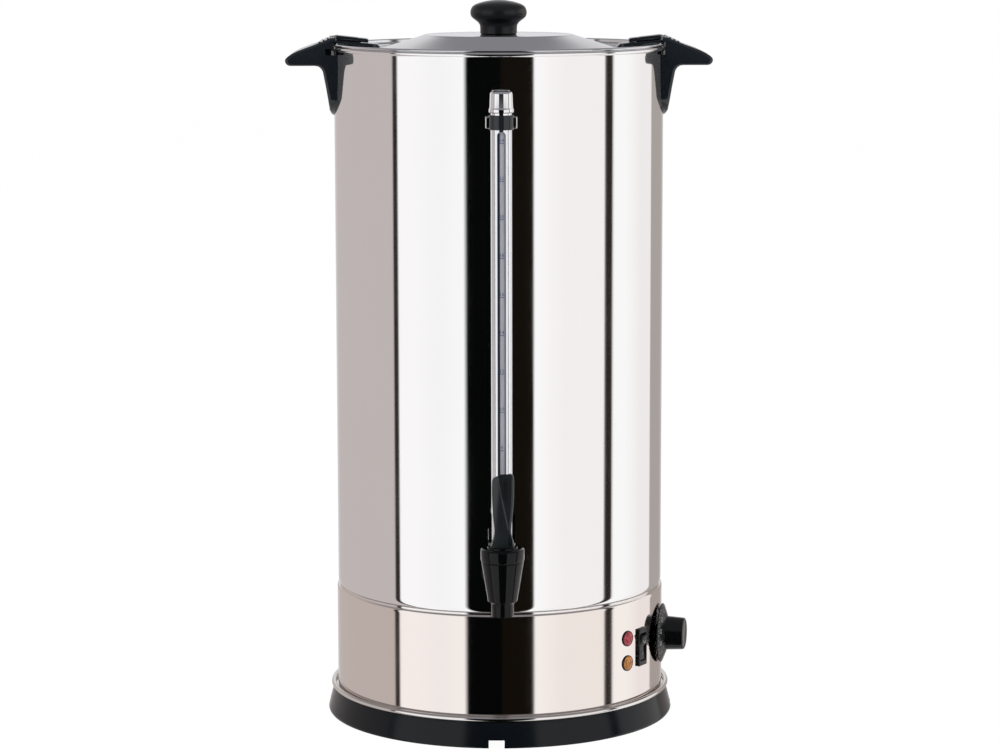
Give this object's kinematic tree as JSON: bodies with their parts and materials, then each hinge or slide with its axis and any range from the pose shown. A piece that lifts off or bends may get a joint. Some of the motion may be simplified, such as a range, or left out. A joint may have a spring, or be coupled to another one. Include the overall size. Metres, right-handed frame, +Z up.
{
  "type": "hot water urn",
  "caption": "Tall polished steel water boiler with a lever tap, sight gauge up the front, side handles, lift-off lid and a heated base with dial, switch and lamps.",
  "frame": {"origin": "the tank axis at the floor: the centre of the foot ring, in the plane that it stands on", "axes": "+Z up along the tank axis; -Y is the front, where the tap and gauge are; +X is to the right of someone facing the tap, where the dial is"},
  "size_m": [0.3664, 0.3571, 0.6244],
  "materials": {
    "polished_tank": "mirror-polished 18/8 stainless sheet",
    "polished_shell": "mirror-polished stainless sheet",
    "polished_trim": "polished stainless ring",
    "polished_lid": "polished stainless pressing",
    "polished_guard": "polished stainless tube",
    "chrome_fittings": "bright chrome plate",
    "zinc_plate": "zinc-plated steel sheet",
    "plated_steel": "stainless and plated fasteners",
    "heater_aluminium": "cast aluminium",
    "element_steel": "heat-darkened sheath",
    "foot_plastic": "satin moulded plastic",
    "satin_black": "satin moulded phenolic",
    "gloss_black": "glossy moulded plastic",
    "tap_black": "glossy moulded plastic",
    "dial_black": "glossy moulded plastic",
    "switch_nylon": "fine-grained nylon",
    "lamp_nylon": "nylon",
    "terminal_white": "nylon",
    "thermostat_ceramic": "steatite and steel case",
    "sensor_copper": "copper tube",
    "brass_pins": "nickelled brass",
    "silicone": "translucent silicone rubber",
    "sight_glass": "clear borosilicate tube",
    "red_lens": "translucent red lens",
    "amber_lens": "translucent amber lens",
    "button_red": "moulded button"
  },
  "bodies": {
    "urn": {"tank": "polished_tank", "tank_floor": "polished_tank", "base_shell": "polished_shell", "trim_ring": "polished_trim", "foot_ring": "foot_plastic", "bottom_plate": "zinc_plate", "base_studs": "plated_steel", "base_nuts": "plated_steel", "heater_plate": "heater_aluminium", "heating_element": "element_steel", "handle_right": "gloss_black", "handle_left": "gloss_black", "handle_screws": "plated_steel", "tap_body": "tap_black", "tap_bonnet": "tap_black", "tap_gaskets": "silicone", "tap_nut": "plated_steel", "gauge_foot": "chrome_fittings", "gauge_guard": "polished_guard", "gauge_glass": "sight_glass", "gauge_seals": "silicone", "gauge_collar": "gloss_black", "gauge_bracket": "chrome_fittings", "bracket_screw": "plated_steel", "gauge_cap": "chrome_fittings", "lamp_lens_red": "red_lens", "lamp_lens_amber": "amber_lens", "lamp_body_red": "lamp_nylon", "lamp_body_amber": "lamp_nylon", "switch_housing": "switch_nylon", "thermostat": "thermostat_ceramic", "sensor_bulb": "sensor_copper", "boil_dry_cutout": "lamp_nylon", "mains_inlet": "switch_nylon", "inlet_pins": "brass_pins", "inlet_screws": "plated_steel", "terminal_block": "terminal_white"},
    "lid": {"lid": "polished_lid", "lid_knob": "satin_black", "knob_screw": "plated_steel", "knob_washer": "plated_steel", "lid_clip_right": "gloss_black", "lid_clip_left": "gloss_black", "lid_clip_screws": "plated_steel"},
    "latch_right": {"lid_latch_right": "gloss_black"},
    "latch_left": {"lid_latch_left": "gloss_black"},
    "valve": {"tap_stem": "plated_steel", "seat_cup": "silicone", "lever_pin": "plated_steel", "tap_spring": "plated_steel"},
    "lever": {"tap_lever": "tap_black"},
    "dial": {"dial": "dial_black", "thermostat_shaft": "plated_steel"},
    "rocker": {"switch_rocker": "switch_nylon"},
    "button": {"reset_button": "button_red"}
  },
  "joints": [
    {"name": "lid_lift", "type": "slide", "parent": "urn", "child": "lid", "axis": [0, 0, 1], "range_m": [0, 0.3]},
    {"name": "latch_right_slide", "type": "slide", "parent": "lid", "child": "latch_right", "axis": [1, 0, 0], "range_m": [0, 0.003]},
    {"name": "latch_left_slide", "type": "slide", "parent": "lid", "child": "latch_left", "axis": [-1, 0, 0], "range_m": [0, 0.003]},
    {"name": "valve_lift", "type": "slide", "parent": "urn", "child": "valve", "axis": [0, 0, 1], "range_m": [0, 0.0037], "deforming": ["tap_spring"]},
    {"name": "lever_tilt", "type": "hinge", "parent": "valve", "child": "lever", "pos_m": [0, -0.187, 0.1852], "axis": [1, 0, 0], "range_deg": [0, 30], "stiffness_Nm_per_rad": 0.35, "springref_deg": -14.32},
    {"name": "dial_turn", "type": "hinge", "parent": "urn", "child": "dial", "pos_m": [0.13993, -0.03179, 0.0723], "axis": [0.9751, -0.2215, 0], "range_deg": [-270, 0]},
    {"name": "rocker_tip", "type": "hinge", "parent": "urn", "child": "rocker", "pos_m": [0.12028, -0.07604, 0.0702], "axis": [-0.5344, -0.8453, 0], "range_deg": [0, 18]},
    {"name": "button_press", "type": "slide", "parent": "urn", "child": "button", "axis": [0, 0, 1], "range_m": [0, 0.0015], "stiffness_N_per_m": 300, "springref_m": -0.001}
  ],
  "couplings": [
    {"joint": "valve_lift", "follows": "lever_tilt", "m_per_rad": 0.007}
  ]
}
